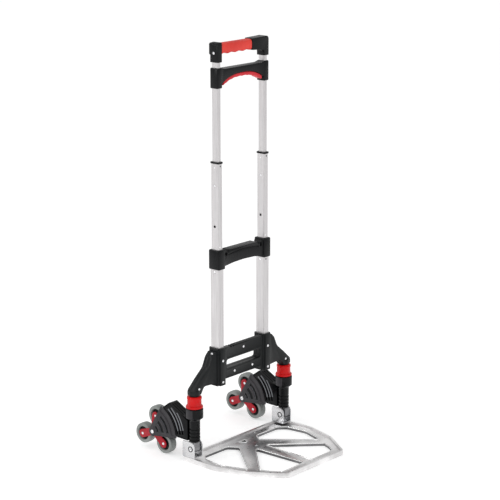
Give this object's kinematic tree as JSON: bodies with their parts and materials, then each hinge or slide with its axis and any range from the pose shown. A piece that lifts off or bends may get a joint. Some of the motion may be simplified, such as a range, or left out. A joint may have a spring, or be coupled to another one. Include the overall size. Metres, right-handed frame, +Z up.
{
  "type": "folding hand truck",
  "caption": "Folding stair-climbing hand truck with telescoping handle, folding cast toe plate and swinging three-wheeled star wheel sets.",
  "frame": {"origin": "on the ground under the middle plane, on the underside of the toe plate's rear bar, in the plane of the two wheel columns", "axes": "+Z up along the tubes, +X to the truck's right, -Y forwards over the toe plate"},
  "size_m": [0.411, 0.472, 1.1011],
  "materials": {
    "black_plastic": "moulded black plastic with a fine grain",
    "tube_aluminium": "drawn tube, satin anodised",
    "cast_aluminium": "cast, tumbled bright",
    "steel": "plated bright",
    "red_plastic": "moulded glossy red",
    "red_grip": "soft matt red",
    "grey_tyre": "grey non-marking tyre"
  },
  "bodies": {
    "frame": {"lower_frame_front": "black_plastic", "lower_frame_rear": "black_plastic", "outer_tube_l": "tube_aluminium", "outer_tube_r": "tube_aluminium", "mid_crossbar": "black_plastic", "column_l": "steel", "column_r": "steel", "red_collar_l": "red_plastic", "red_collar_r": "red_plastic", "column_foot_l": "cast_aluminium", "column_foot_r": "cast_aluminium", "pivot_pin_l": "steel", "pivot_pin_r": "steel"},
    "middle_stage": {"middle_tube_l": "tube_aluminium", "middle_tube_r": "tube_aluminium", "guide_ring_l": "black_plastic", "guide_ring_r": "black_plastic"},
    "handle_stage": {"upper_tube_l": "tube_aluminium", "upper_tube_r": "tube_aluminium", "carry_bar": "black_plastic", "carry_grip": "red_grip", "handle_cap_l": "black_plastic", "handle_cap_r": "black_plastic", "handle_rivet_l": "steel", "handle_rivet_r": "steel", "handle_core": "steel", "handle_grip": "red_grip"},
    "toe_plate": {"toe_plate": "cast_aluminium", "plate_ear_l": "cast_aluminium", "plate_ear_r": "cast_aluminium"},
    "outer_button_l": {"outer_button_l": "steel"},
    "middle_button_l": {"middle_button_l": "steel"},
    "bracket_l": {"wheel_bracket_l": "black_plastic", "star_axle_l": "steel"},
    "star_l": {"spider_l": "red_plastic", "wheel_rivet_l1": "steel", "wheel_rivet_l2": "steel", "wheel_rivet_l3": "steel"},
    "wheel_l1": {"tyre_l1": "grey_tyre", "wheel_core_l1": "black_plastic"},
    "wheel_l2": {"tyre_l2": "grey_tyre", "wheel_core_l2": "black_plastic"},
    "wheel_l3": {"tyre_l3": "grey_tyre", "wheel_core_l3": "black_plastic"},
    "outer_button_r": {"outer_button_r": "steel"},
    "middle_button_r": {"middle_button_r": "steel"},
    "bracket_r": {"wheel_bracket_r": "black_plastic", "star_axle_r": "steel"},
    "star_r": {"spider_r": "red_plastic", "wheel_rivet_r1": "steel", "wheel_rivet_r2": "steel", "wheel_rivet_r3": "steel"},
    "wheel_r1": {"tyre_r1": "grey_tyre", "wheel_core_r1": "black_plastic"},
    "wheel_r2": {"tyre_r2": "grey_tyre", "wheel_core_r2": "black_plastic"},
    "wheel_r3": {"tyre_r3": "grey_tyre", "wheel_core_r3": "black_plastic"}
  },
  "joints": [
    {"name": "middle_slide", "type": "slide", "parent": "frame", "child": "middle_stage", "axis": [0, 0, 1], "range_m": [-0.224, 0]},
    {"name": "handle_slide", "type": "slide", "parent": "middle_stage", "child": "handle_stage", "axis": [0, 0, 1], "range_m": [-0.187, 0]},
    {"name": "toe_plate_fold", "type": "hinge", "parent": "frame", "child": "toe_plate", "pos_m": [0, 0, 0.038], "axis": [-1, 0, 0], "range_deg": [0, 90]},
    {"name": "outer_button_l_press", "type": "slide", "parent": "frame", "child": "outer_button_l", "axis": [1, 0, 0], "range_m": [0, 0.002], "stiffness_N_per_m": 300},
    {"name": "middle_button_l_press", "type": "slide", "parent": "middle_stage", "child": "middle_button_l", "axis": [1, 0, 0], "range_m": [0, 0.002], "stiffness_N_per_m": 300},
    {"name": "bracket_l_swing", "type": "hinge", "parent": "frame", "child": "bracket_l", "pos_m": [-0.182, 0, 0.09], "axis": [0, 0, 1], "range_deg": [-54, 0]},
    {"name": "star_l_spin", "type": "hinge", "parent": "bracket_l", "child": "star_l", "pos_m": [-0.182, 0.137, 0.056], "axis": [1, 0, 0], "continuous": true},
    {"name": "wheel_l1_spin", "type": "hinge", "parent": "star_l", "child": "wheel_l1", "pos_m": [-0.182, 0.13004, 0.09995], "axis": [1, 0, 0], "continuous": true},
    {"name": "wheel_l2_spin", "type": "hinge", "parent": "star_l", "child": "wheel_l2", "pos_m": [-0.182, 0.17854, 0.04005], "axis": [1, 0, 0], "continuous": true},
    {"name": "wheel_l3_spin", "type": "hinge", "parent": "star_l", "child": "wheel_l3", "pos_m": [-0.182, 0.10242, 0.02799], "axis": [1, 0, 0], "continuous": true},
    {"name": "outer_button_r_press", "type": "slide", "parent": "frame", "child": "outer_button_r", "axis": [1, 0, 0], "range_m": [0, 0.002], "stiffness_N_per_m": 300},
    {"name": "middle_button_r_press", "type": "slide", "parent": "middle_stage", "child": "middle_button_r", "axis": [1, 0, 0], "range_m": [0, 0.002], "stiffness_N_per_m": 300},
    {"name": "bracket_r_swing", "type": "hinge", "parent": "frame", "child": "bracket_r", "pos_m": [0.182, 0, 0.09], "axis": [0, 0, 1], "range_deg": [0, 54]},
    {"name": "star_r_spin", "type": "hinge", "parent": "bracket_r", "child": "star_r", "pos_m": [0.182, 0.137, 0.056], "axis": [1, 0, 0], "continuous": true},
    {"name": "wheel_r1_spin", "type": "hinge", "parent": "star_r", "child": "wheel_r1", "pos_m": [0.182, 0.13235, 0.10026], "axis": [1, 0, 0], "continuous": true},
    {"name": "wheel_r2_spin", "type": "hinge", "parent": "star_r", "child": "wheel_r2", "pos_m": [0.182, 0.17765, 0.0379], "axis": [1, 0, 0], "continuous": true},
    {"name": "wheel_r3_spin", "type": "hinge", "parent": "star_r", "child": "wheel_r3", "pos_m": [0.182, 0.101, 0.02984], "axis": [1, 0, 0], "continuous": true}
  ],
  "couplings": [
    {"joint": "bracket_l_swing", "follows": "toe_plate_fold", "ratio": -0.6},
    {"joint": "bracket_r_swing", "follows": "toe_plate_fold", "ratio": 0.6}
  ]
}
